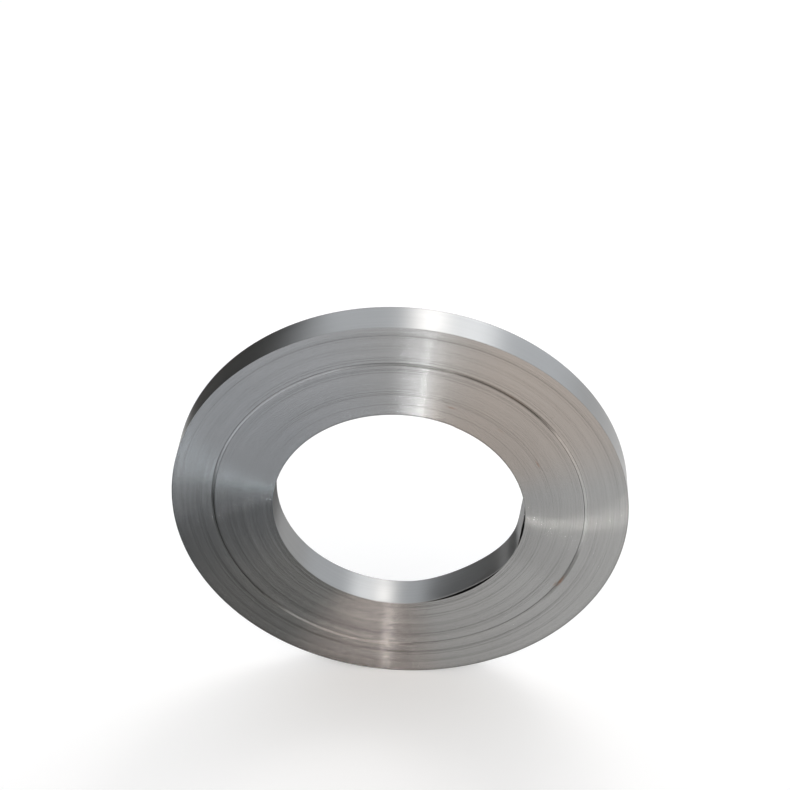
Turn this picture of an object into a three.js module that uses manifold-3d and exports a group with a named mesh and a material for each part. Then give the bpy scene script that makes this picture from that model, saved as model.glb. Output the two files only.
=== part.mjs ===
// A coil of slit steel strip, wound tight on a mandrel and standing on its edge.
// The strip is one length of steel, so the coil is one solid: a turned ring with its bore, whose
// ends show the turns in bands and one slack turn, with the strip's two cut ends on its walls.
// Millimetres. The coil's axis is Y, its front end faces -Y, and Z is up. The origin is the
// centre of the bore at half the strip's width.
import * as THREE from "three";
import { mergeVertices } from "three/addons/utils/BufferGeometryUtils.js";
import Module from "manifold-3d";

// The strip and the coil
const STRIP_WIDTH = 68;
const STRIP_THICKNESS = 1;
const BORE_DIAMETER = 508; // a 20 inch mandrel
const OUTER_DIAMETER = 922;

// The turns, as the ends show them
const BAND_TURNS = 12; // turns in an average band, wound at one setting of the strip guide
const BAND_UNEVENNESS = 0.35; // how far a band's edge wanders, as a share of the band
const TELESCOPING = 0.9; // the most that a band stands off the true end, either way
const SLACK_TURN = 122; // turns wound before the slack one
const SLACK_GAP = 1.6; // between the slack turn and the next, down in the groove
const SLACK_MOUTH = 8; // the same at the end face, where the edges are pressed apart
const SLACK_DEPTH = 4;

// The strip's ends. Clock angles are in degrees, clockwise from the top, seen from the front.
const HEAD_CLOCK = 25; // where the strip starts, in the bore
const TAIL_CLOCK = 150; // where it ends, on the outer wall, near the floor
const END_TURN_SHIFT = 0.3; // how far the first and the last turn are shifted along the axis
const TURN_ROOT = 1.5; // how deep these two turns are sunk in the coil that they join

// Where the first turn has sprung off the second, and the widest gap there
const LOOSE_ARCS = [
  { from: 84, to: 110, gap: 2.5 },
  { from: 116, to: 174, gap: 6 },
];

const FACETS = 72; // around the coil
const FACET_ANGLE = 360 / FACETS;

const wasm = await Module();
wasm.setup();

// The radii between the bands of turns, from one radius to another.
function bandEdges(from, to) {
  const count = Math.max(1, Math.round((to - from) / (BAND_TURNS * STRIP_THICKNESS)));
  const pitch = (to - from) / count;
  const edges = [];
  for (let i = 0; i <= count; i++) {
    const isEnd = i === 0 || i === count;
    const wander = isEnd ? 0 : BAND_UNEVENNESS * pitch * Math.sin(2.3 * i);
    edges.push(from + i * pitch + wander);
  }
  return edges;
}

// Each band's two radii, and how far its turns are shifted along the axis. Every turn is as wide
// as the strip, so a band that stands out at one end lies back at the other.
function windBands(from, to, phase) {
  const edges = bandEdges(from, to);
  return edges.slice(1).map((outer, i) => ({
    inner: edges[i],
    outer,
    shift: TELESCOPING * Math.sin(2.4 * i + phase),
  }));
}

// One end of the coil from the bore outwards, as points of radius and place along the axis.
// side is -1 at the front end and 1 at the back end.
function endProfile(insideSlack, outsideSlack, slackRadius, side) {
  const faces = (bands) =>
    bands.flatMap(({ inner, outer, shift }) => [
      new THREE.Vector2(inner, (side * STRIP_WIDTH) / 2 + shift),
      new THREE.Vector2(outer, (side * STRIP_WIDTH) / 2 + shift),
    ]);
  const grooveFloor = side * (STRIP_WIDTH / 2 - SLACK_DEPTH);
  return [
    ...faces(insideSlack),
    new THREE.Vector2(slackRadius - SLACK_GAP / 2, grooveFloor),
    new THREE.Vector2(slackRadius + SLACK_GAP / 2, grooveFloor),
    ...faces(outsideSlack),
  ];
}

// All the turns but the first and the last, as one turned ring that closes on itself. A facet,
// and not the edge between two, is at the bottom.
function turnedRing(innerRadius, outerRadius) {
  const slackRadius = BORE_DIAMETER / 2 + SLACK_TURN * STRIP_THICKNESS;
  const insideSlack = windBands(innerRadius, slackRadius - SLACK_MOUTH / 2, 4.9);
  const outsideSlack = windBands(slackRadius + SLACK_MOUTH / 2, outerRadius, 1.4);
  const front = endProfile(insideSlack, outsideSlack, slackRadius, -1);
  const back = endProfile(insideSlack, outsideSlack, slackRadius, 1);
  const profile = [...front, ...back.reverse(), front[0].clone()];
  return new THREE.LatheGeometry(profile, FACETS, Math.PI / FACETS);
}

// The edge between two facets that is nearest to a clock angle.
function nearestFacetEdge(clock) {
  return (Math.round(clock / FACET_ANGLE - 0.5) + 0.5) * FACET_ANGLE;
}

// A point on the coil's end, from its radius and clock angle.
function clockPoint(radius, clock) {
  const angle = THREE.MathUtils.degToRad(clock);
  return new THREE.Vector2(radius * Math.sin(angle), radius * Math.cos(angle));
}

// An outline on the coil's end, drawn through the strip's width and shifted along the axis.
function drawThrough(outline, width, shift) {
  const shape = new THREE.Shape(outline);
  const body = new THREE.ExtrudeGeometry(shape, { depth: width, bevelEnabled: false });
  body.rotateX(Math.PI / 2);
  body.translate(0, width / 2 + shift, 0);
  return body;
}

// How far the first turn has sprung inwards at a clock angle.
function looseGap(clock) {
  const arc = LOOSE_ARCS.find(({ from, to }) => clock > from && clock < to);
  return arc ? arc.gap * Math.sin((Math.PI * (clock - arc.from)) / (arc.to - arc.from)) ** 2 : 0;
}

// One turn of strip that lies against a ring. Its free surface winds away from the ring by the
// strip's thickness in one turn, so the strip's cut end stands square where the turn starts or
// stops. way is 1 outside the ring and -1 in its bore, where the turn also follows looseGap.
function endTurn(ringRadius, endClock, way) {
  const start = nearestFacetEdge(endClock);
  const surface = [];
  const root = [];
  for (let i = 1; i <= FACETS; i++) {
    const clock = start + way * i * FACET_ANGLE;
    const sprung = way < 0 ? looseGap(THREE.MathUtils.euclideanModulo(clock, 360)) : 0;
    const off = (STRIP_THICKNESS * i) / FACETS + sprung;
    surface.push(clockPoint(ringRadius + way * off, clock));
    root.push(clockPoint(ringRadius - way * TURN_ROOT, clock));
  }
  return drawThrough([...surface, ...root.reverse()], STRIP_WIDTH, -END_TURN_SHIFT);
}

// The open crescent behind the first turn where it has sprung off the second, cut through the
// coil from end to end. It leaves the first turn as thick as the strip.
function looseCrescent({ from, to }) {
  const head = nearestFacetEdge(HEAD_CLOCK);
  const secondTurn = (clock) =>
    BORE_DIAMETER / 2 + STRIP_THICKNESS * (1 + THREE.MathUtils.euclideanModulo(clock - head, 360) / 360);
  const outer = [clockPoint(secondTurn(from), from)];
  const inner = [];
  for (let clock = nearestFacetEdge(from); clock < to; clock += FACET_ANGLE) {
    if (clock <= from) continue;
    outer.push(clockPoint(secondTurn(clock), clock));
    inner.push(clockPoint(secondTurn(clock) - looseGap(clock), clock));
  }
  outer.push(clockPoint(secondTurn(to), to));
  return drawThrough([...outer, ...inner.reverse()], STRIP_WIDTH + 4 * TELESCOPING, 0);
}

function toSolid(geometry) {
  const bare = geometry.clone();
  bare.deleteAttribute("normal");
  bare.deleteAttribute("uv");
  const merged = mergeVertices(bare);
  const mesh = new wasm.Mesh({
    numProp: 3,
    vertProperties: merged.attributes.position.array,
    triVerts: new Uint32Array(merged.index.array),
  });
  return new wasm.Manifold(mesh);
}

function toGeometry(solid) {
  const { vertProperties, triVerts } = solid.getMesh();
  const geometry = new THREE.BufferGeometry();
  geometry.setAttribute("position", new THREE.BufferAttribute(vertProperties, 3));
  geometry.setIndex(new THREE.BufferAttribute(triVerts, 1));
  const faceted = geometry.toNonIndexed();
  faceted.computeVertexNormals();
  return faceted;
}

function stripCoil() {
  const innerRadius = BORE_DIAMETER / 2 + STRIP_THICKNESS;
  const outerRadius = OUTER_DIAMETER / 2 - STRIP_THICKNESS;
  const wound = toSolid(turnedRing(innerRadius, outerRadius))
    .add(toSolid(endTurn(innerRadius, HEAD_CLOCK, -1)))
    .add(toSolid(endTurn(outerRadius, TAIL_CLOCK, 1)));
  const solid = LOOSE_ARCS.reduce((coil, arc) => coil.subtract(toSolid(looseCrescent(arc))), wound);
  const coldRolledSteel = new THREE.MeshStandardMaterial({
    color: 0x9b9d9c,
    roughness: 0.38,
    metalness: 1,
  });
  const coil = new THREE.Mesh(toGeometry(solid), coldRolledSteel);
  coil.name = "strip_coil";
  return coil;
}

const part = new THREE.Group();
part.name = "steel_coil";
part.add(stripCoil());

export default part;
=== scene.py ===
import math
import random

import bpy
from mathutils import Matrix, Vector


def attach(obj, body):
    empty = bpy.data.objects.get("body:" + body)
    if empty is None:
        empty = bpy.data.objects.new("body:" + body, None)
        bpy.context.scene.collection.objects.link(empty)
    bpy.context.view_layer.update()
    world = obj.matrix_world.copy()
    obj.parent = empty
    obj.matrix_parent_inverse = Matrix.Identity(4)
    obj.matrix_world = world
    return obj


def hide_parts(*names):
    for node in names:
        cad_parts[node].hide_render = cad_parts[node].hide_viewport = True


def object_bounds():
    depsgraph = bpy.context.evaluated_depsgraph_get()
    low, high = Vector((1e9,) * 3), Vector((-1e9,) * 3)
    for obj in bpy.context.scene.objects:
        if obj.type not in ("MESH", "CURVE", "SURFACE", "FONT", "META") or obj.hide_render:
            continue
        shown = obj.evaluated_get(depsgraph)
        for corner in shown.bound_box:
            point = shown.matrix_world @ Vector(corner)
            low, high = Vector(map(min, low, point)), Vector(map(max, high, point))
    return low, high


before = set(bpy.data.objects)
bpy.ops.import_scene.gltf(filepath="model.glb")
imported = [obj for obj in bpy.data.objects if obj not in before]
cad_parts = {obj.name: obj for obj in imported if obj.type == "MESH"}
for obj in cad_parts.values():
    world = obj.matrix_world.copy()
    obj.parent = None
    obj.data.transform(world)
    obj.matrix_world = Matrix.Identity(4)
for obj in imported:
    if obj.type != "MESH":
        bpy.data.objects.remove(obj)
cad_low, cad_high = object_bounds()


# The wound turns: a ring of tight turns on each side of the slack ones. Cold-rolled steel strip, slit to
# width and wound on a mandrel, so that bundles of turns stand a little in front of or behind their
# neighbours, and each cut edge shows on the ends of the coil.
strip_width = 0.068
strip_thickness = 0.001
bore_radius = 0.254
# The last turn climbs by one thickness round the coil, and has a sixth of that left where it is widest.
outer_radius = cad_high.x + strip_thickness / 6
slack_inside_radius = 0.3725
slack_outside_radius = 0.379
winding_steps = 180
winding_seed = 11
# Bundles of turns: how many turns each holds, how far it stands out, how far it leans, and the groove
# between two.
bundle_sizes = (2, 3, 4, 5, 6, 7)
bundle_offset = 0.00008
bundle_tilt = 0.016
bundle_groove = 0.0001
bundle_groove_depth = 0.00015
# How far the turns creep along the axis, in a slow and a quick wave. Each has its share of the creep and
# its length in turns.
telescoping = 0.0006
slow_share, slow_turns, slow_start = 0.6, 11.0, 1.4
quick_share, quick_turns = 0.4, 4.3
rim_round = 0.0003
merge_distance = 0.00001


def lateral_shift(radius):
    """How far a turn has crept along the axis as the strip was wound, by its radius."""
    turn = (radius - bore_radius) / strip_thickness
    slow = slow_share * math.sin(turn / slow_turns + slow_start)
    return telescoping * (slow + quick_share * math.sin(turn / quick_turns))


def bundles_between(inside, outside, chance):
    """The bundles of turns from one radius to another, each with its two radii, creep and tilt."""
    bundles = []
    radius = inside
    while outside - radius > strip_thickness / 2:
        edge = min(radius + chance.choice(bundle_sizes) * strip_thickness, outside)
        shift = lateral_shift((radius + edge) / 2) + chance.uniform(-1, 1) * bundle_offset
        bundles.append((radius, edge, shift, chance.uniform(-1, 1) * bundle_tilt))
        radius = edge
    return bundles


def end_outline(bundles, side):
    """Radius and place along the axis of the outline of one end: a land for each bundle and a narrow
    groove between two. Side is -1 at the front end and 1 at the back end."""
    outline = []
    for number, (inside, outside, shift, tilt) in enumerate(bundles):
        face = side * strip_width / 2 + shift
        rise = tilt * (outside - inside) / 2
        outline.append((inside + bundle_groove / 2, face - rise))
        outline.append((outside - bundle_groove / 2, face + rise))
        if number + 1 < len(bundles):
            next_face = side * strip_width / 2 + bundles[number + 1][2]
            floor_of_groove = min(side * face, side * next_face) - bundle_groove_depth
            outline.append((outside, side * floor_of_groove))
    return outline


def ring_outline(inside, outside, chance):
    """The closed outline of a ring of turns, as (radius, place along the axis), with rounded rims."""
    bundles = bundles_between(inside, outside, chance)
    front = end_outline(bundles, -1)
    back = end_outline(bundles, 1)
    for end, side in ((front, -1), (back, 1)):
        first_face, last_face = end[0][1], end[-1][1]
        end[0] = (inside, first_face - side * rim_round)
        end[-1] = (outside, last_face - side * rim_round)
        end.insert(1, (inside + rim_round, first_face))
        end.insert(-1, (outside - rim_round, last_face))
    return front + back[::-1]


def turn_ring(name, outline):
    """Draws an outline with its points pulled out of one another, and spins it round the axis."""
    bpy.ops.object.select_all(action="DESELECT")
    radius, along = outline[0]
    bpy.ops.mesh.primitive_plane_add(size=0.01, location=(radius, along, 0), enter_editmode=True)
    bpy.ops.mesh.merge(type="CENTER")
    for next_radius, next_along in outline[1:] + outline[:1]:
        pull = (next_radius - radius, next_along - along, 0)
        bpy.ops.mesh.extrude_vertices_move(TRANSFORM_OT_translate={"value": pull})
        radius, along = next_radius, next_along
    bpy.ops.mesh.select_all(action="SELECT")
    bpy.ops.mesh.remove_doubles(threshold=merge_distance)
    bpy.ops.mesh.spin(steps=winding_steps, angle=math.tau, center=(0, 0, 0), axis=(0, 1, 0))
    bpy.ops.mesh.select_all(action="SELECT")
    bpy.ops.mesh.remove_doubles(threshold=merge_distance)
    bpy.ops.mesh.normals_make_consistent(inside=False)
    bpy.ops.object.mode_set(mode="OBJECT")
    ring = bpy.context.active_object
    ring.name = name
    bpy.ops.object.transform_apply(location=True, rotation=True, scale=True)
    return ring


winding_chance = random.Random(winding_seed)
inner_turns = turn_ring(
    "inner_turns",
    ring_outline(bore_radius + strip_thickness, slack_inside_radius, winding_chance),
)
outer_turns = turn_ring(
    "outer_turns",
    ring_outline(slack_outside_radius, outer_radius - strip_thickness, winding_chance),
)


# The cut edges of the wound turns, which make the ends of the coil. Bright steel that the slitter's
# rollers have cut: each edge is a rounded land with a tone of its own, bundles of turns share a tone,
# and the turns wander in and out a little round the coil.
wander_scale = 2.5
wander_turns = 0.8
turn_tone_share = 0.28
bundle_patches = (5, 5, 5)
bundle_change_per_turn = 0.1
# How far the middle of an edge bulges and how far an edge leans, in parts of the strip's thickness.
bead_bulge = 0.12
edge_lean = 0.05


def add_node(tree, kind, inputs=None, **settings):
    """Adds a node, sets its settings, and gives its inputs a value or a link from another socket."""
    new = tree.nodes.new(kind)
    for setting, value in settings.items():
        setattr(new, setting, value)
    for socket, value in (inputs or {}).items():
        if isinstance(value, bpy.types.NodeSocket):
            tree.links.new(value, new.inputs[socket])
        else:
            new.inputs[socket].default_value = value
    return new


def math_node(tree, operation, first, second=0.0, third=0.0):
    inputs = {0: first, 1: second, 2: third}
    return add_node(tree, "ShaderNodeMath", inputs, operation=operation).outputs[0]


def vector_node(tree, operation, first, second=(0, 0, 0), output=0):
    inputs = {0: first, 1: second}
    return add_node(tree, "ShaderNodeVectorMath", inputs, operation=operation).outputs[output]


def mix_node(tree, amount, first, second, blend="MIX"):
    inputs = {0: amount, 6: first, 7: second}
    return add_node(tree, "ShaderNodeMix", inputs, data_type="RGBA", blend_type=blend).outputs[2]


def noise_node(tree, place, scale, detail, roughness=0.5):
    inputs = {"Vector": place, "Scale": scale, "Detail": detail, "Roughness": roughness}
    return add_node(tree, "ShaderNodeTexNoise", inputs).outputs["Fac"]


def ramp_node(tree, value, low, high, out_low=0.0, out_high=1.0):
    """Carries a value over from one range to another, with a soft start and end."""
    inputs = {0: value, 1: low, 2: high, 3: out_low, 4: out_high}
    return add_node(tree, "ShaderNodeMapRange", inputs, interpolation_type="SMOOTHSTEP").outputs[0]


def node_group(name, *outputs):
    """A shader node group with the named outputs, and its output node. Each output is (name, kind)."""
    group = bpy.data.node_groups.new(name, "ShaderNodeTree")
    for socket, kind in outputs:
        group.interface.new_socket(socket, in_out="OUTPUT", socket_type="NodeSocket" + kind)
    return group, group.nodes.new("NodeGroupOutput")


def object_place(tree):
    return add_node(tree, "ShaderNodeTexCoord").outputs["Object"]


def off_axis(tree, place):
    """A place on the coil with its share along the axis taken out, and its distance from the axis."""
    flat_place = vector_node(tree, "MULTIPLY", place, (1, 0, 1))
    return flat_place, vector_node(tree, "LENGTH", flat_place, output="Value")


turn_edges, group_out = node_group("turn_edges", ("Tone", "Float"), ("Height", "Float"))
place = object_place(turn_edges)
flat_place, distance = off_axis(turn_edges, place)
wander = noise_node(turn_edges, place, wander_scale, detail=0.0)
round_turn = math_node(turn_edges, "DIVIDE", distance, strip_thickness)
turn_number = math_node(turn_edges, "MULTIPLY_ADD", wander, wander_turns, round_turn)
whole_turn = math_node(turn_edges, "FLOOR", turn_number)
within_turn = math_node(turn_edges, "FRACT", turn_number)
turn_chance = add_node(
    turn_edges, "ShaderNodeTexWhiteNoise", {"W": whole_turn}, noise_dimensions="1D"
).outputs["Value"]
bundle_chance = add_node(
    turn_edges,
    "ShaderNodeTexNoise",
    {
        "Vector": vector_node(turn_edges, "MULTIPLY", place, bundle_patches),
        "W": math_node(turn_edges, "MULTIPLY", turn_number, bundle_change_per_turn),
        "Scale": 1.0,
        "Detail": 2.0,
        "Roughness": 0.5,
    },
    noise_dimensions="4D",
).outputs["Fac"]
bundle_tone = math_node(turn_edges, "MULTIPLY", bundle_chance, 1 - turn_tone_share)
tone = math_node(turn_edges, "MULTIPLY_ADD", turn_chance, turn_tone_share, bundle_tone)
across = math_node(turn_edges, "MULTIPLY_ADD", within_turn, 2.0, -1.0)
bead = math_node(turn_edges, "MULTIPLY", math_node(turn_edges, "MULTIPLY", across, across), -bead_bulge)
lean = math_node(turn_edges, "MULTIPLY_ADD", turn_chance, edge_lean, -edge_lean / 2)
height = math_node(turn_edges, "MULTIPLY_ADD", lean, across, bead)
turn_edges.links.new(tone, group_out.inputs["Tone"])
turn_edges.links.new(height, group_out.inputs["Height"])


# Painted shade and a tint on the cut edges. They are darker low on one side, on the lower left, with
# painted shade, and their tint goes from straw to grey blue round the coil. Each tint has its clock
# angle, the cosines of the angle off it at which it starts and is full, and its colour.
plain_tint = (1.0, 1.0, 0.985, 1)
clock_tints = (
    (42, 0.8, 1.0, (1.11, 1.0, 0.91, 1)),
    (190, 0.9, 1.0, (1.1, 1.0, 0.95, 1)),
    (305, 0.3, 0.9, (0.96, 1.0, 1.05, 1)),
)
# Where the painted shade lies low on one side: its clock angle and the cosines at which it starts and is
# full.
low_painted_shade_place = (236, 0.2, 0.95)
cloud_scale = 7.0


def near_clock(way_out, clock, start, full):
    """How near a point of the coil is to a clock angle, between two cosines of the angle off it."""
    toward = (math.sin(math.radians(clock)), 0, math.cos(math.radians(clock)))
    nearness = vector_node(way_out.id_data, "DOT_PRODUCT", way_out, toward, "Value")
    return ramp_node(way_out.id_data, nearness, start, full)


edge_tint_and_shade, group_out = node_group("edge_tint_and_shade", ("Tint", "Color"), ("Low Painted Shade", "Float"))
place = object_place(edge_tint_and_shade)
way_out = vector_node(edge_tint_and_shade, "NORMALIZE", vector_node(edge_tint_and_shade, "MULTIPLY", place, (1, 0, 1)))
clouds = noise_node(edge_tint_and_shade, place, cloud_scale, detail=4.0, roughness=0.55)
tint = plain_tint
for clock, start, full, clock_tint in clock_tints:
    tint = mix_node(edge_tint_and_shade, near_clock(way_out, clock, start, full), tint, clock_tint)
cloudy = ramp_node(edge_tint_and_shade, clouds, 0.25, 0.75, 0.75, 1.1)
# Painted shade low on one side, made patchy by the clouds.
low_painted_shade = math_node(edge_tint_and_shade, "MULTIPLY", near_clock(way_out, *low_painted_shade_place), cloudy)
edge_tint_and_shade.links.new(tint, group_out.inputs["Tint"])
edge_tint_and_shade.links.new(low_painted_shade, group_out.inputs["Low Painted Shade"])


# Painted sheen and painted shade on the edges of the slack turns: a lighter painted sheen where they
# stand proud, and painted shade where they have parted. Each place has its clock angle, its half length
# in degrees and its strength.
painted_sheen_places = ((76, 30, 1.0), (142, 24, 0.14), (200, 26, 0.95), (319, 32, 0.75))
painted_slack_shade_places = ((34, 22, 1.0), (114, 14, 0.6), (253, 36, 0.8), (6, 16, 0.4))
fading_degrees = 12
slack_middle_radius = 0.3758
painted_sheen_half_width = 0.0058
painted_slack_shade_half_width = 0.005
full_half_width = 0.0024

slack_sheen_and_shade, group_out = node_group("slack_sheen_and_shade", ("Painted Sheen", "Float"), ("Painted Slack Shade", "Float"))
flat_place, distance = off_axis(slack_sheen_and_shade, object_place(slack_sheen_and_shade))
way_out = vector_node(slack_sheen_and_shade, "NORMALIZE", flat_place)
for places, output, half_width in (
    (painted_sheen_places, "Painted Sheen", painted_sheen_half_width),
    (painted_slack_shade_places, "Painted Slack Shade", painted_slack_shade_half_width),
):
    masked = 0.0
    for clock, half_length, strength in places:
        start = math.cos(math.radians(half_length))
        full = math.cos(math.radians(half_length - fading_degrees))
        spot = math_node(slack_sheen_and_shade, "MULTIPLY", near_clock(way_out, clock, start, full), strength)
        masked = math_node(slack_sheen_and_shade, "MAXIMUM", masked, spot)
    off_slack = math_node(slack_sheen_and_shade, "SUBTRACT", distance, slack_middle_radius)
    off_slack = math_node(slack_sheen_and_shade, "ABSOLUTE", off_slack)
    on_slack = ramp_node(slack_sheen_and_shade, off_slack, half_width, full_half_width)
    slack_sheen_and_shade.links.new(math_node(slack_sheen_and_shade, "MULTIPLY", masked, on_slack), group_out.inputs[output])


# The marks of the rolls on the strip's face: fine lines along the strip, cloudy smears of oil drawn out
# the same way, and a band along each cut edge that the slitter has left dull.
roll_line_stretch = (4, 330, 4)
smear_stretch = (9, 26, 9)
dull_band_start, dull_band_full = 0.0305, 0.0338
dull_band_darkening = 0.18
smear_share = 0.35
face_roughness = 0.27
smear_roughness = 0.12
dull_band_roughness = 0.07

roll_marks, group_out = node_group(
    "roll_marks", ("Tone", "Float"), ("Roughness", "Float"), ("Height", "Float")
)
place = object_place(roll_marks)
drawn_out = vector_node(roll_marks, "MULTIPLY", place, roll_line_stretch)
roll_lines = noise_node(roll_marks, drawn_out, scale=1.0, detail=5.0, roughness=0.6)
drawn_out = vector_node(roll_marks, "MULTIPLY", place, smear_stretch)
smears = noise_node(roll_marks, drawn_out, scale=1.0, detail=3.0)
along_axis = add_node(roll_marks, "ShaderNodeSeparateXYZ", {"Vector": place}).outputs["Y"]
off_centre = math_node(roll_marks, "ABSOLUTE", along_axis)
by_edge = ramp_node(roll_marks, off_centre, dull_band_start, dull_band_full)
line_tone = math_node(roll_marks, "MULTIPLY", roll_lines, 1 - smear_share)
tone = math_node(roll_marks, "MULTIPLY_ADD", smears, smear_share, line_tone)
tone = math_node(roll_marks, "MULTIPLY_ADD", by_edge, -dull_band_darkening, tone)
dullness = math_node(roll_marks, "MULTIPLY_ADD", smears, smear_roughness, face_roughness)
dullness = math_node(roll_marks, "MULTIPLY_ADD", by_edge, dull_band_roughness, dullness)
roll_marks.links.new(tone, group_out.inputs["Tone"])
roll_marks.links.new(dullness, group_out.inputs["Roughness"])
roll_marks.links.new(roll_lines, group_out.inputs["Height"])


# Small rust stains on the front end, drawn out along the turns where damp has crept in between them.
# Each has its clock angle, its distance from the axis, its half length, half width and strength.
rust_colour = (0.3, 0.13, 0.055, 1)
blotch_scale = 160.0
rust_stains = (
    (116.5, 0.3755, 0.026, 0.0045, 0.75),
    (118.5, 0.3695, 0.012, 0.0025, 0.45),
    (62, 0.309, 0.018, 0.0022, 0.5),
    (20, 0.2955, 0.016, 0.003, 0.45),
    (41, 0.300, 0.012, 0.002, 0.35),
    (36, 0.3757, 0.06, 0.0025, 0.3),
)

rust, group_out = node_group("rust", ("Stained", "Float"))
place = object_place(rust)
flat_place, distance = off_axis(rust, place)
blotches = noise_node(rust, place, blotch_scale, detail=4.0, roughness=0.6)
stained = 0.0
for clock, out, half_length, half_width, strength in rust_stains:
    angle = math.radians(clock)
    middle = (out * math.sin(angle), -strip_width / 2, out * math.cos(angle))
    off_middle = vector_node(rust, "SUBTRACT", place, middle)
    along = vector_node(rust, "DOT_PRODUCT", off_middle, (math.cos(angle), 0, -math.sin(angle)), "Value")
    off_turn = math_node(rust, "SUBTRACT", distance, out)
    # Counting the way along the axis too keeps a stain off the coil's far side and its back end.
    outward = (math.sin(angle), 1, math.cos(angle))
    through = vector_node(rust, "DOT_PRODUCT", off_middle, outward, "Value")
    spread = add_node(
        rust,
        "ShaderNodeCombineXYZ",
        {
            "X": math_node(rust, "DIVIDE", along, half_length),
            "Y": math_node(rust, "DIVIDE", off_turn, half_width),
            "Z": math_node(rust, "DIVIDE", through, half_length),
        },
    ).outputs[0]
    off = vector_node(rust, "LENGTH", spread, output="Value")
    stained = math_node(rust, "MAXIMUM", stained, ramp_node(rust, off, 1.0, 0.1, 0.0, strength))
patchy = math_node(rust, "MULTIPLY", stained, ramp_node(rust, blotches, 0.35, 0.6, 0.35, 1.0))
rust.links.new(patchy, group_out.inputs["Stained"])


# The finishes of the steel: the cut edges on the ends, the rolled face in the bore and round the
# outside, and the same face where it lies against the next turn, nearly black with painted shade and
# oil.
dark_edge = (0.305, 0.305, 0.305, 1)
bright_edge = (0.392, 0.392, 0.392, 1)
# Painted sheen on the slack turns' edges, and painted shade where they have parted.
painted_sheen_edge = (0.53, 0.53, 0.53, 1)
painted_slack_shade_edge = (0.23, 0.228, 0.222, 1)
# The colour that multiplies the edges under the painted shade low on one side.
low_painted_shade_colour = (0.92, 0.92, 0.91, 1)
dark_face = (0.2, 0.202, 0.202, 1)
bright_face = (0.276, 0.278, 0.276, 1)
# Painted shade in the gaps between turns, with oil: nearly black.
painted_shade_oily_face = (0.014, 0.013, 0.012, 1)
edge_roughness = 0.18
oily_roughness = 0.5
# How strongly the edges' tones differ, elsewhere and under the painted shade low on one side.
plain_edge_contrast = 0.6
low_painted_shade_contrast = 1.2
rust_dulling = 0.6
face_anisotropy = 0.5
quarter_turn = 0.25
roll_line_depth = 0.00004
# A face belongs to an end of the coil where its normal has more than this share along the axis.
end_facing = 0.3


def steel(name):
    """A metal whose shine is drawn out at right angles to the turns, as on anything turned."""
    material = bpy.data.materials.new(name)
    material.use_nodes = True
    tree = material.node_tree
    tree.nodes.clear()
    look = {"Metallic": 1.0, "Anisotropic Rotation": quarter_turn}
    shader = add_node(tree, "ShaderNodeBsdfPrincipled", look)
    add_node(tree, "ShaderNodeOutputMaterial", {"Surface": shader.outputs[0]})
    round_axis = add_node(tree, "ShaderNodeTangent", direction_type="RADIAL", axis="Y")
    tree.links.new(round_axis.outputs[0], shader.inputs["Tangent"])
    return material, tree, shader


def raise_relief(tree, shader, height, strength, depth, filter_width):
    inputs = {"Strength": strength, "Distance": depth, "Filter Width": filter_width, "Height": height}
    relief = add_node(tree, "ShaderNodeBump", inputs)
    tree.links.new(relief.outputs[0], shader.inputs["Normal"])


slit_edges, tree, shader = steel("slit_edges")
edges = add_node(tree, "ShaderNodeGroup", node_tree=turn_edges).outputs
tint_and_shade = add_node(tree, "ShaderNodeGroup", node_tree=edge_tint_and_shade).outputs
slack = add_node(tree, "ShaderNodeGroup", node_tree=slack_sheen_and_shade).outputs
stained = add_node(tree, "ShaderNodeGroup", node_tree=rust).outputs["Stained"]
contrast = math_node(tree, "MULTIPLY_ADD", tint_and_shade["Low Painted Shade"], low_painted_shade_contrast, plain_edge_contrast)
off_middle = math_node(tree, "SUBTRACT", edges["Tone"], 0.5)
toned = math_node(tree, "MULTIPLY_ADD", off_middle, contrast, 0.5)
colour = mix_node(tree, toned, dark_edge, bright_edge)
# Painted sheen and painted shade on the slack turns' edges.
colour = mix_node(tree, slack["Painted Sheen"], colour, painted_sheen_edge)
colour = mix_node(tree, slack["Painted Slack Shade"], colour, painted_slack_shade_edge)
colour = mix_node(tree, 1.0, colour, tint_and_shade["Tint"], "MULTIPLY")
# Painted shade low on one side of the ends.
low_shaded_colour = mix_node(tree, 1.0, colour, low_painted_shade_colour, "MULTIPLY")
colour = mix_node(tree, tint_and_shade["Low Painted Shade"], colour, low_shaded_colour)
colour = mix_node(tree, stained, colour, rust_colour)
tree.links.new(colour, shader.inputs["Base Color"])
shader.inputs["Roughness"].default_value = edge_roughness
shader.inputs["Anisotropic"].default_value = 1.0
dulled = math_node(tree, "MULTIPLY_ADD", stained, -rust_dulling, 1.0)
tree.links.new(dulled, shader.inputs["Metallic"])
raise_relief(tree, shader, edges["Height"], strength=1.0, depth=strip_thickness, filter_width=0.02)

strip_face, tree, shader = steel("strip_face")
marks = add_node(tree, "ShaderNodeGroup", node_tree=roll_marks).outputs
stained = add_node(tree, "ShaderNodeGroup", node_tree=rust).outputs["Stained"]
colour = mix_node(tree, marks["Tone"], dark_face, bright_face)
colour = mix_node(tree, stained, colour, rust_colour)
tree.links.new(colour, shader.inputs["Base Color"])
tree.links.new(marks["Roughness"], shader.inputs["Roughness"])
shader.inputs["Anisotropic"].default_value = face_anisotropy
raise_relief(tree, shader, marks["Height"], strength=0.5, depth=roll_line_depth, filter_width=0.1)

# The faces between turns: nearly black with painted shade and oil.
painted_shade_between_turns, tree, shader = steel("painted_shade_between_turns")
shader.inputs["Base Color"].default_value = painted_shade_oily_face
shader.inputs["Roughness"].default_value = oily_roughness


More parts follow.
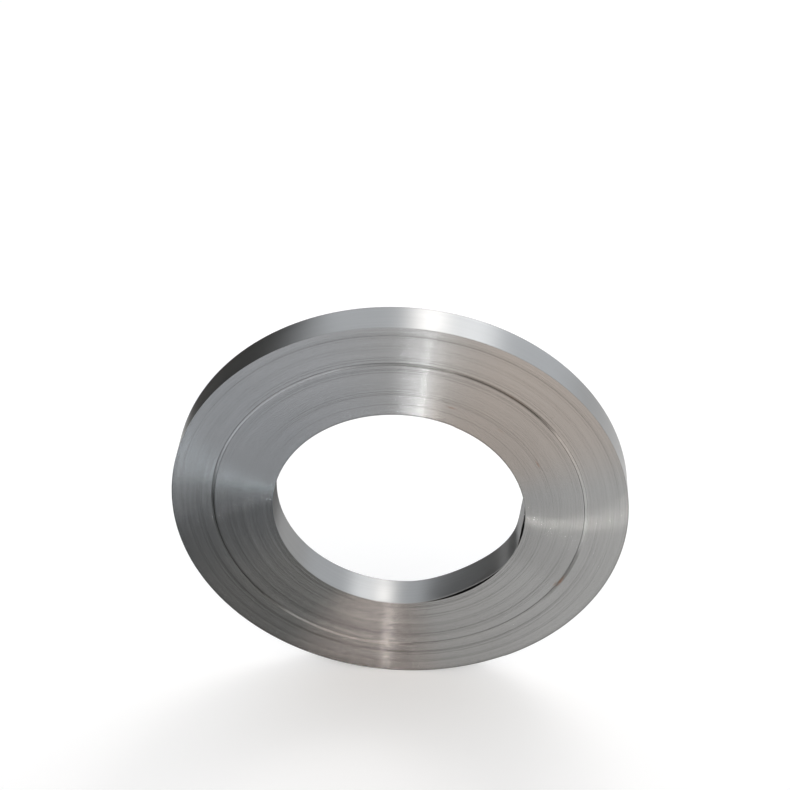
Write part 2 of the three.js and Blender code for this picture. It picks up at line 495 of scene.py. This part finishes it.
def dress_turns(piece, showing=0):
    """Gives the ends of a piece the finish of its cut edges, and its walls the finish of the strip where
    they show, towards the axis with -1 and away from it with 1. The other walls lie against a turn and
    are nearly black with painted shade and oil."""
    for finish in (slit_edges, strip_face, painted_shade_between_turns):
        piece.data.materials.append(finish)
    for face in piece.data.polygons:
        out = face.center.x * face.normal.x + face.center.z * face.normal.z
        if abs(face.normal.y) > end_facing:
            face.material_index = 0
        elif showing and out * showing > -0.1:
            face.material_index = 1
        else:
            face.material_index = 2


dress_turns(inner_turns)
dress_turns(outer_turns)


# The first turn, in the bore. The same strip; its end has no grip once the coil is off the mandrel, so
# it has sprung inwards from the second turn in two places, each from one clock angle to another.
strip_corner = 0.00012
head_clock = 25
end_turn_shift = 0.0003
loose_arcs = ((81, 111, 0.0048), (116, 176, 0.0078))
loose_arc_ease = 1.5


def wind_strip(name, start_clock, turns, radius_at, shift_at):
    """Winds a length of strip clockwise, seen from the front, from a start clock angle in degrees from
    the top. radius_at gives its mid radius and shift_at its creep, by the degrees wound so far."""
    step = 360 / winding_steps
    bpy.ops.object.select_all(action="DESELECT")
    bpy.ops.mesh.primitive_plane_add(size=1, location=(0, 0, 0), enter_editmode=True)
    bpy.ops.transform.resize(value=(strip_width, strip_thickness, 1))
    bpy.ops.mesh.bevel(offset=strip_corner, affect="VERTICES", segments=1)
    bpy.ops.transform.rotate(value=-math.pi / 2, orient_axis="Z", center_override=(0, 0, 0))
    bpy.ops.transform.translate(value=(radius_at(0), shift_at(0), 0))
    turn_to_start = math.radians(start_clock - 90)
    bpy.ops.transform.rotate(value=-turn_to_start, orient_axis="Y", center_override=(0, 0, 0))
    for number in range(round(turns * winding_steps)):
        clock = math.radians(start_clock + (number + 1) * step)
        wound = number * step
        out = radius_at(wound + step) - radius_at(wound)
        along = shift_at(wound + step) - shift_at(wound)
        bpy.ops.mesh.extrude_region_move(TRANSFORM_OT_translate={"value": (0, 0, 0)})
        bpy.ops.transform.rotate(value=-math.radians(step), orient_axis="Y", center_override=(0, 0, 0))
        bpy.ops.transform.translate(value=(out * math.sin(clock), along, out * math.cos(clock)))
    bpy.ops.mesh.select_all(action="SELECT")
    bpy.ops.mesh.normals_make_consistent(inside=False)
    bpy.ops.object.mode_set(mode="OBJECT")
    strip = bpy.context.active_object
    strip.name = name
    return strip


def bore_gap(clock):
    """How far the first turn stands off the second at a clock angle."""
    for start, end, gap in loose_arcs:
        if start < clock < end:
            return gap * math.sin(math.pi * (clock - start) / (end - start)) ** loose_arc_ease
    return 0


def first_turn_radius(wound):
    clock = (head_clock + wound) % 360
    return bore_radius + strip_thickness * (0.5 + wound / 360) - bore_gap(clock)


first_turn = wind_strip("first_turn", head_clock, 1, first_turn_radius, lambda wound: -end_turn_shift)
dress_turns(first_turn, showing=-1)


# The last turn, on the outside. The same strip, pulled tight round the coil and cut off square, so
# that its tail makes a small step in the outer wall.
tail_clock = 150


def last_turn_radius(wound):
    return outer_radius - strip_thickness * (1.5 - wound / 360)


last_turn = wind_strip("last_turn", tail_clock, 1, last_turn_radius, lambda wound: -end_turn_shift)
dress_turns(last_turn, showing=1)


# The slack turns, part of the way out. Five turns of the same strip, wound with less pull: in places
# they have parted and leave an open line, and in others they stand a little proud and their edges get a
# painted sheen.
slack_clock = 175
slack_turn_count = 5
slack_proud = 0.0008
# How many thicknesses out each turn is pushed where they have parted.
parted_places = (0, 1, 3.5, 4.5, 5.5, 5.5)
# How far the slack turns have parted at each clock angle, or below 0 how far they stand proud.
slack_places = (
    (0, 0), (10, 0.3), (20, 0.9), (44, 1), (52, 0), (64, -0.5), (98, -0.5), (108, 0), (112, 0.4),
    (117, 0.4), (122, 0), (140, -0.1), (175, 0), (188, -0.5), (214, -0.4), (224, 0), (234, 0.9),
    (262, 1), (278, 0.5), (285, 0), (298, -0.5), (336, -0.5), (344, 0), (360, 0),
)


def slack_spread(clock):
    """How far the slack turns have parted at a clock angle, eased from one place to the next."""
    clock %= 360
    for (start, first), (end, second) in zip(slack_places, slack_places[1:]):
        if clock <= end:
            share = (clock - start) / (end - start)
            return first + (second - first) * share * share * (3 - 2 * share)


def slack_radius(wound):
    spread = max(0, slack_spread(slack_clock + wound))
    even_pitch = (slack_outside_radius - slack_inside_radius - strip_thickness) / slack_turn_count
    even = even_pitch * wound / 360
    pushed = parted_places[int(wound // 360)] * strip_thickness
    return slack_inside_radius + strip_thickness / 2 + even + spread * (pushed - even)


def slack_shift(wound):
    return min(0, slack_spread(slack_clock + wound)) * slack_proud


slack_turns = wind_strip("slack_turns", slack_clock, slack_turn_count, slack_radius, slack_shift)
dress_turns(slack_turns)


# The coil: all its turns joined as the one piece that they are, a single length of steel strip. It
# stands on its edge on the floor with its axis level.
shading_angle = math.radians(30)
bpy.ops.object.select_all(action="DESELECT")
for turns in (inner_turns, outer_turns, first_turn, last_turn, slack_turns):
    turns.select_set(True)
bpy.context.view_layer.objects.active = inner_turns
bpy.ops.object.join()
coil = bpy.context.active_object
coil.name = "steel_coil"
bpy.ops.object.transform_apply(location=True, rotation=True, scale=True)
bpy.ops.object.shade_smooth_by_angle(angle=shading_angle)
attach(coil, "root")
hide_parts("strip_coil")


# The studio floor: a wide sheet of white paper under the coil. It takes the coil's shadow, and is lifted
# a little for the camera and for what shines.
floor_size = 14
floor_middle = (0, 2, cad_low.z)
paper_colour = (0.8, 0.8, 0.8, 1)
paper_lift = 0.3

bpy.ops.object.select_all(action="DESELECT")
bpy.ops.mesh.primitive_plane_add(size=floor_size, location=floor_middle)
floor = bpy.context.active_object
floor.name = "floor"
bpy.ops.object.transform_apply(location=True, rotation=True, scale=True)
paper = bpy.data.materials.new("floor_paper")
paper.use_nodes = True
tree = paper.node_tree
tree.nodes.clear()
matt = add_node(tree, "ShaderNodeBsdfDiffuse", {"Color": paper_colour})
path = tree.nodes.new("ShaderNodeLightPath").outputs
seen = math_node(tree, "ADD", path["Is Camera Ray"], path["Is Glossy Ray"])
seen = math_node(tree, "ADD", seen, path["Is Transmission Ray"])
lift_level = math_node(tree, "MULTIPLY", seen, paper_lift)
lift = add_node(tree, "ShaderNodeEmission", {"Color": (1, 1, 1, 1), "Strength": lift_level})
both = add_node(tree, "ShaderNodeAddShader", {0: matt.outputs[0], 1: lift.outputs[0]})
add_node(tree, "ShaderNodeOutputMaterial", {"Surface": both.outputs[0]})
floor.data.materials.append(paper)


# Cards of black felt round the coil, seen only in the metal: two lie on the floor and one stands behind
# on the left. They put the dark parts in the coil's shine.
card_lift = 0.004


def felt_card(name, shade, first, second, soft_edge, height=0.0):
    """A card from one corner (x, y) on the floor to another: flat, or standing if it has a height. It
    thins out to nothing over its edge, by a share of its size."""
    low = cad_low.z + card_lift
    felt = bpy.data.materials.new(name + "_felt")
    felt.use_nodes = True
    tree = felt.node_tree
    tree.nodes.clear()
    place = add_node(tree, "ShaderNodeTexCoord").outputs["Generated"]
    place = add_node(tree, "ShaderNodeSeparateXYZ", {"Vector": place}).outputs
    cover = 1.0
    for across in (place["X"], place["Z" if height else "Y"]):
        off_edge = math_node(tree, "MULTIPLY", math_node(tree, "SUBTRACT", 1.0, across), across)
        cover = math_node(tree, "MULTIPLY", cover, ramp_node(tree, off_edge, 0.0, soft_edge))
    black = add_node(tree, "ShaderNodeBsdfDiffuse", {"Color": (shade, shade, shade, 1)})
    nothing = add_node(tree, "ShaderNodeBsdfTransparent")
    mixed = add_node(tree, "ShaderNodeMixShader", {0: cover, 1: nothing.outputs[0], 2: black.outputs[0]})
    add_node(tree, "ShaderNodeOutputMaterial", {"Surface": mixed.outputs[0]})
    across_x, across_y = second[0] - first[0], second[1] - first[1]
    middle = ((first[0] + second[0]) / 2, (first[1] + second[1]) / 2, low + height / 2)
    if height:
        size = (math.hypot(across_x, across_y), height, 1)
        turn = (math.pi / 2, 0, math.atan2(across_y, across_x))
    else:
        size = (abs(across_x), abs(across_y), 1)
        turn = (0, 0, 0)
    bpy.ops.object.select_all(action="DESELECT")
    bpy.ops.mesh.primitive_plane_add(size=1, location=middle, rotation=turn)
    card = bpy.context.active_object
    card.name = name
    card.scale = size
    bpy.ops.object.transform_apply(location=True, rotation=True, scale=True)
    card.data.materials.append(felt)
    card.visible_camera = False
    card.visible_diffuse = False
    card.visible_shadow = False


felt_card("left_mat", 0.29, (-0.87, 0.02), (0.1, -0.66), 0.14)
felt_card("back_mat", 0.08, (-0.62, 0.3), (0.09, 0.95), 0.12)
felt_card("left_flag", 0.1, (-1.5, 0.25), (-0.5, 1.1), 0.12, 1.4)


# The studio walls: white in front of and behind the coil, dimmer at its sides, and plain white where the
# camera sees them. The front wall is a little warm and the back wall a little cool.
front_wall_level = 1.45
back_wall_level = 1.95
side_wall_level = 0.3
front_wall_colour = (1.04, 1.0, 0.96, 1)
back_wall_colour = (0.97, 1.0, 1.04, 1)
wall_change = 0.3

world = bpy.data.worlds.new("studio_walls")
bpy.context.scene.world = world
world.use_nodes = True
tree = world.node_tree
towards = add_node(tree, "ShaderNodeTexCoord").outputs["Generated"]
level = 0.0
for way, wall_level in (
    ((0, -1, 0), front_wall_level),
    ((0, 1, 0), back_wall_level),
    ((1, 0, 0), side_wall_level),
    ((-1, 0, 0), side_wall_level),
):
    facing = math_node(tree, "MAXIMUM", vector_node(tree, "DOT_PRODUCT", towards, way, "Value"), 0.0)
    level = math_node(tree, "MULTIPLY_ADD", facing, wall_level, level)
backwards = vector_node(tree, "DOT_PRODUCT", towards, (0, 1, 0), "Value")
backwards = ramp_node(tree, backwards, -wall_change, wall_change)
wall_colour = mix_node(tree, backwards, front_wall_colour, back_wall_colour)
walls = tree.nodes["Background"]
tree.links.new(level, walls.inputs["Strength"])
tree.links.new(wall_colour, walls.inputs["Color"])
white = add_node(tree, "ShaderNodeBackground", {"Color": (1, 1, 1, 1), "Strength": 1.0})
seen = tree.nodes.new("ShaderNodeLightPath").outputs["Is Camera Ray"]
backdrop = add_node(tree, "ShaderNodeMixShader", {0: seen, 1: walls.outputs[0], 2: white.outputs[0]})
tree.links.new(backdrop.outputs[0], tree.nodes["World Output"].inputs["Surface"])


# The studio lamps: two soft boxes behind the coil, and small low lamps in front that graze its end and
# draw a narrow shine across the turns at the top, bottom, right and left. The low lamps light only the
# coil.
warm_white = (1, 0.96, 0.92)
pale_warm_white = (1, 0.97, 0.9)
cool_white = (0.85, 0.97, 1)
coil_middle = (0, 0, 0)
coil_top = (0.04, 0, 0.35)
coil_bottom = (-0.04, 0, -0.35)
coil_right = (0.35, 0, 0)
coil_left = (-0.35, 0, 0)


def soft_box(name, place, aim, width, height, power, colour=(1, 1, 1)):
    """A lamp of a width and height at a place, aimed at a point, which fades towards its edge."""
    lamp = bpy.data.lights.new(name, "AREA")
    lamp.shape = "RECTANGLE"
    lamp.size = width
    lamp.size_y = height
    lamp.energy = power
    lamp.color = colour
    lamp.use_nodes = True
    tree = lamp.node_tree
    on_face = add_node(tree, "ShaderNodeNewGeometry").outputs["Parametric"]
    off_middle = vector_node(tree, "SUBTRACT", on_face, (0.5, 0.5, 0))
    to_edge = vector_node(tree, "LENGTH", off_middle, output="Value")
    fade = ramp_node(tree, to_edge, 0.0, 0.5, 1.0, 0.0)
    tree.links.new(fade, tree.nodes["Emission"].inputs["Strength"])
    box = bpy.data.objects.new(name, lamp)
    bpy.context.scene.collection.objects.link(box)
    box.location = place
    box.rotation_euler = (Vector(aim) - Vector(place)).to_track_quat("-Z", "Y").to_euler()
    box.visible_camera = False
    return box


soft_box("back_box", (0.42, 2.6, 2.3), coil_middle, 1.2, 2.2, 65, warm_white)
soft_box("back_fill", (1.3, 2.4, 2.2), coil_middle, 1.6, 1.8, 45)
low_lamps = (
    soft_box("top_shine", (0.033, -0.25, 0.05), coil_top, 0.018, 0.018, 0.07),
    soft_box("top_glow", (0.031, -0.11, 0.17), (0.03, 0, 0.3), 0.11, 0.11, 0.125),
    soft_box("bottom_shine", (-0.02, -0.42, -0.44), coil_bottom, 0.012, 0.012, 0.09),
    soft_box("bottom_glow", (0.05, -1.2, -0.44), coil_bottom, 0.28, 0.28, 3.5),
    soft_box("right_shine", (0.315, -0.4, -0.338), coil_right, 0.005, 0.005, 0.1, pale_warm_white),
    soft_box("left_shine", (-0.36, -0.5, -0.36), coil_left, 0.05, 0.05, 0.1, cool_white),
)
only_coil = bpy.data.collections.new("only_coil")
only_coil.objects.link(coil)
for lamp in low_lamps:
    lamp.light_linking.receiver_collection = only_coil


# The camera: in front of the coil, above it and a little to its right, level from side to side.
camera_place = (0.1503, -2.4822, 2.2152)
camera_tilt = math.radians(52.067)
camera_turn = math.radians(3.675)
lens_length = 74.52
sensor_width = 36

camera_data = bpy.data.cameras.new("camera")
camera_data.sensor_width = sensor_width
camera_data.lens = lens_length
camera = bpy.data.objects.new("camera", camera_data)
bpy.context.scene.collection.objects.link(camera)
camera.location = camera_place
camera.rotation_euler = (camera_tilt, 0, camera_turn)
bpy.context.scene.camera = camera
bpy.context.scene.view_settings.view_transform = "Standard"
